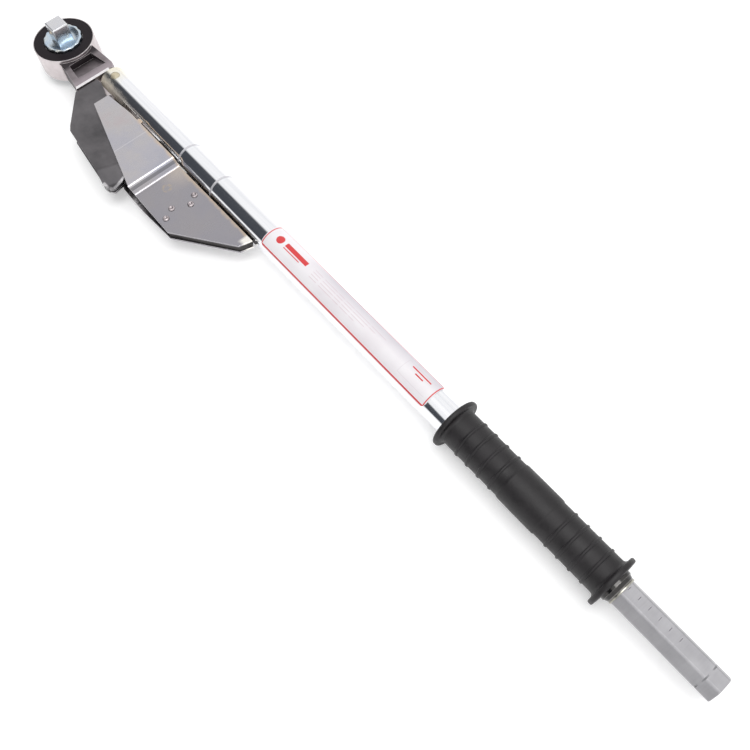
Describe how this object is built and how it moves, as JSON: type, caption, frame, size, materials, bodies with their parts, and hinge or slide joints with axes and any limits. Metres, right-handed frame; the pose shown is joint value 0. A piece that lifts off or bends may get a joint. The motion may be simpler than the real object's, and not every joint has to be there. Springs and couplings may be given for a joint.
{
  "type": "torque wrench",
  "caption": "Long break-back ratchet torque wrench: round head with a square drive, side lever under a sheet guard, chromed tube, ribbed rubber grip and a hexagon adjuster tail.",
  "frame": {"origin": "centre of the square drive's end face", "axes": "+Z is the way the square points, +X runs from the head to the handle, the lever and its guards are on the -Y side of the tube"},
  "size_m": [0.9646, 0.1159, 0.0627],
  "materials": {
    "ratchet_head": "satin, darker on the cast neck",
    "cover_ring_front": "black, glossy",
    "cover_ring_back": "black, glossy",
    "ratchet_gear": "oiled",
    "square_drive": "bright zinc plate",
    "drive_washer": "bright zinc plate",
    "drive_screw": "black oxide",
    "detent_ball": "polished",
    "detent_spring": "oiled",
    "pawl": "oiled",
    "pawl_spring": "oiled",
    "lever_plate_upper": "dark, satin",
    "lever_plate_lower": "dark, satin",
    "link_pin": "plain",
    "toggle_link": "satin",
    "plunger": "greased",
    "plunger_pin": "plain",
    "main_tube": "bright chrome plate",
    "fulcrum_pin": "ground flush, discoloured",
    "main_spring": "oiled",
    "spring_follower": "greased",
    "adjuster_hexagon": "satin, with scale marks",
    "adjuster_nut": "plain",
    "end_ring": "black oxide, with a worn bright lip",
    "rubber_grip": "matte black, ribbed",
    "label_film": null,
    "guard_upper": "zinc plate, slightly discoloured",
    "guard_lower": "zinc plate, slightly discoloured",
    "guard_bracket": "zinc plate",
    "guard_rivet_1": "zinc plate",
    "guard_rivet_2": "zinc plate",
    "guard_rivet_3": "zinc plate",
    "guard_rivet_4": "zinc plate",
    "lower_guard_rivet_1": "zinc plate",
    "lower_guard_rivet_2": "zinc plate"
  },
  "bodies": {
    "tube": {"main_tube": "main_tube", "fulcrum_pin": "fulcrum_pin", "main_spring": "main_spring", "adjuster_nut": "adjuster_nut", "end_ring": "end_ring", "rubber_grip": "rubber_grip", "label_film": "label_film", "guard_upper": "guard_upper", "guard_lower": "guard_lower", "guard_bracket": "guard_bracket", "guard_rivet_1": "guard_rivet_1", "guard_rivet_2": "guard_rivet_2", "guard_rivet_3": "guard_rivet_3", "guard_rivet_4": "guard_rivet_4", "lower_guard_rivet_1": "lower_guard_rivet_1", "lower_guard_rivet_2": "lower_guard_rivet_2"},
    "lever": {"ratchet_head": "ratchet_head", "cover_ring_front": "cover_ring_front", "cover_ring_back": "cover_ring_back", "lever_plate_upper": "lever_plate_upper", "lever_plate_lower": "lever_plate_lower", "link_pin": "link_pin", "pawl_spring": "pawl_spring"},
    "drive": {"square_drive": "square_drive", "ratchet_gear": "ratchet_gear", "drive_washer": "drive_washer", "drive_screw": "drive_screw", "detent_spring": "detent_spring"},
    "detent": {"detent_ball": "detent_ball"},
    "pawl": {"pawl": "pawl"},
    "link": {"toggle_link": "toggle_link"},
    "plunger": {"plunger": "plunger", "plunger_pin": "plunger_pin"},
    "follower": {"spring_follower": "spring_follower"},
    "adjuster": {"adjuster_hexagon": "adjuster_hexagon"}
  },
  "joints": [
    {"name": "break_hinge", "type": "hinge", "parent": "tube", "child": "lever", "pos_m": [0.09, 0.0129, -0.037], "axis": [0, 0, 1], "range_deg": [0, 8], "stiffness_Nm_per_rad": 100, "springref_deg": -5.73},
    {"name": "link_turn", "type": "hinge", "parent": "lever", "child": "link", "pos_m": [0.174, -0.036, -0.037], "axis": [0, 0, 1], "range_deg": [-16.5, 0]},
    {"name": "plunger_slide", "type": "slide", "parent": "tube", "child": "plunger", "axis": [1, 0, 0], "range_m": [0, 0.0125], "deforming": ["main_spring"]},
    {"name": "drive_spin", "type": "hinge", "parent": "lever", "child": "drive", "pos_m": [0, 0, -0.037], "axis": [0, 0, 1], "continuous": true},
    {"name": "pawl_slide", "type": "slide", "parent": "lever", "child": "pawl", "axis": [1, 0, 0], "range_m": [0, 0.0022], "stiffness_N_per_m": 100, "springref_m": -0.003, "deforming": ["pawl_spring"]},
    {"name": "detent_press", "type": "slide", "parent": "drive", "child": "detent", "axis": [0, 1, 0], "range_m": [0, 0.0011], "stiffness_N_per_m": 50, "springref_m": -0.002, "deforming": ["detent_spring"]},
    {"name": "follower_slide", "type": "slide", "parent": "tube", "child": "follower", "axis": [1, 0, 0], "range_m": [-0.0555, 0.0105], "deforming": ["main_spring"]},
    {"name": "adjuster_turn", "type": "hinge", "parent": "follower", "child": "adjuster", "pos_m": [0.93, 0.0129, -0.037], "axis": [1, 0, 0], "range_deg": [-6600, 1200]}
  ],
  "couplings": [
    {"joint": "link_turn", "follows": "break_hinge", "ratio": -2.03},
    {"joint": "plunger_slide", "follows": "break_hinge", "m_per_rad": 0.0872},
    {"joint": "follower_slide", "follows": "adjuster_turn", "m_per_rad": 0.00047746}
  ]
}
